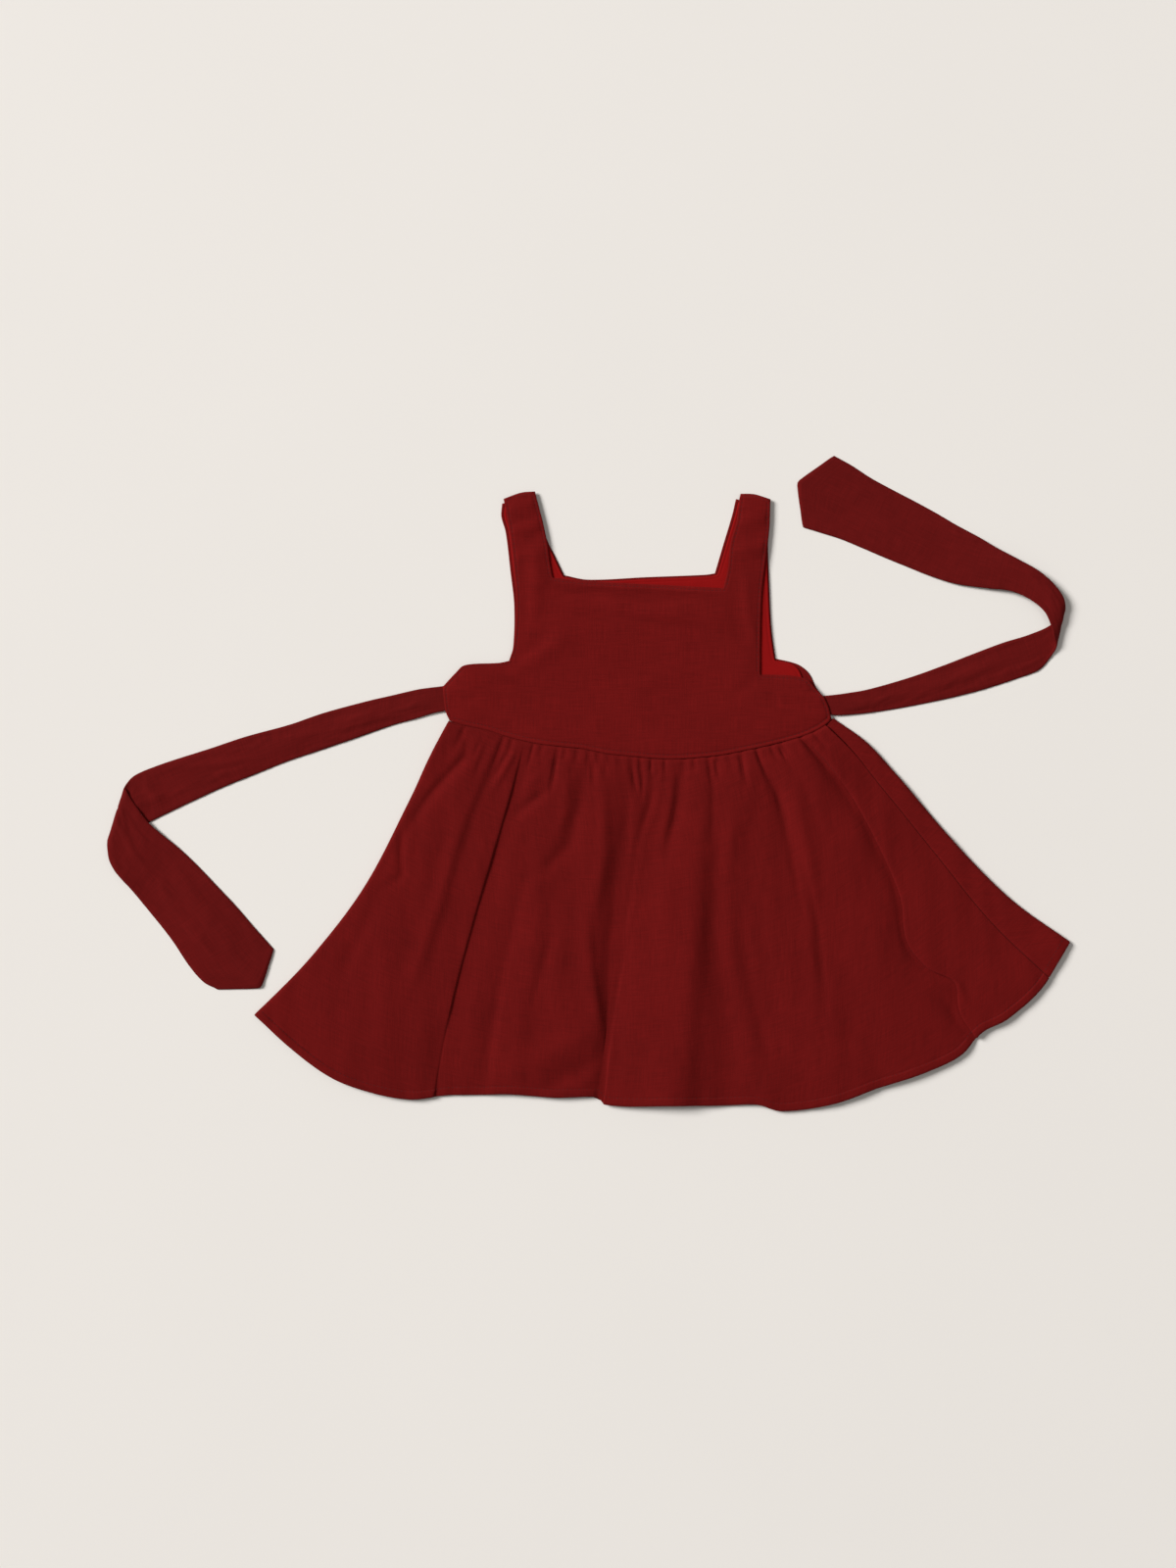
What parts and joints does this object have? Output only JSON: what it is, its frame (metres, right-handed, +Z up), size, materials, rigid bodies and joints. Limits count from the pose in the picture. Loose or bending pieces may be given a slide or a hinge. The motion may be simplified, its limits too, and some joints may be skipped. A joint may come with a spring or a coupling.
{
  "type": "sarafan dress",
  "caption": "Sleeveless toddler pinafore dress laid flat: square neck, wide straps, gathered flared skirt and two waist ties.",
  "frame": {"origin": "middle of the outline on the plane that the dress lies on", "axes": "+X across the dress to its left side as worn, +Y from hem to straps, +Z up out of the front"},
  "size_m": [0.6873, 0.4672, 0.0098],
  "materials": {
    "bodice_cloth": "matt dark red cotton gauze, two layers",
    "lining_cloth": "matt brighter red cotton lining",
    "skirt_cloth": "matt dark red cotton gauze",
    "tie_cloth": "matt dark red cotton gauze, two layers"
  },
  "bodies": {
    "root": {"bodice_front": "bodice_cloth", "bodice_back": "bodice_cloth", "bodice_back_lining": "lining_cloth", "skirt_front": "skirt_cloth", "skirt_back": "skirt_cloth", "tie_left": "tie_cloth", "tie_right": "tie_cloth"}
  },
  "joints": []
}
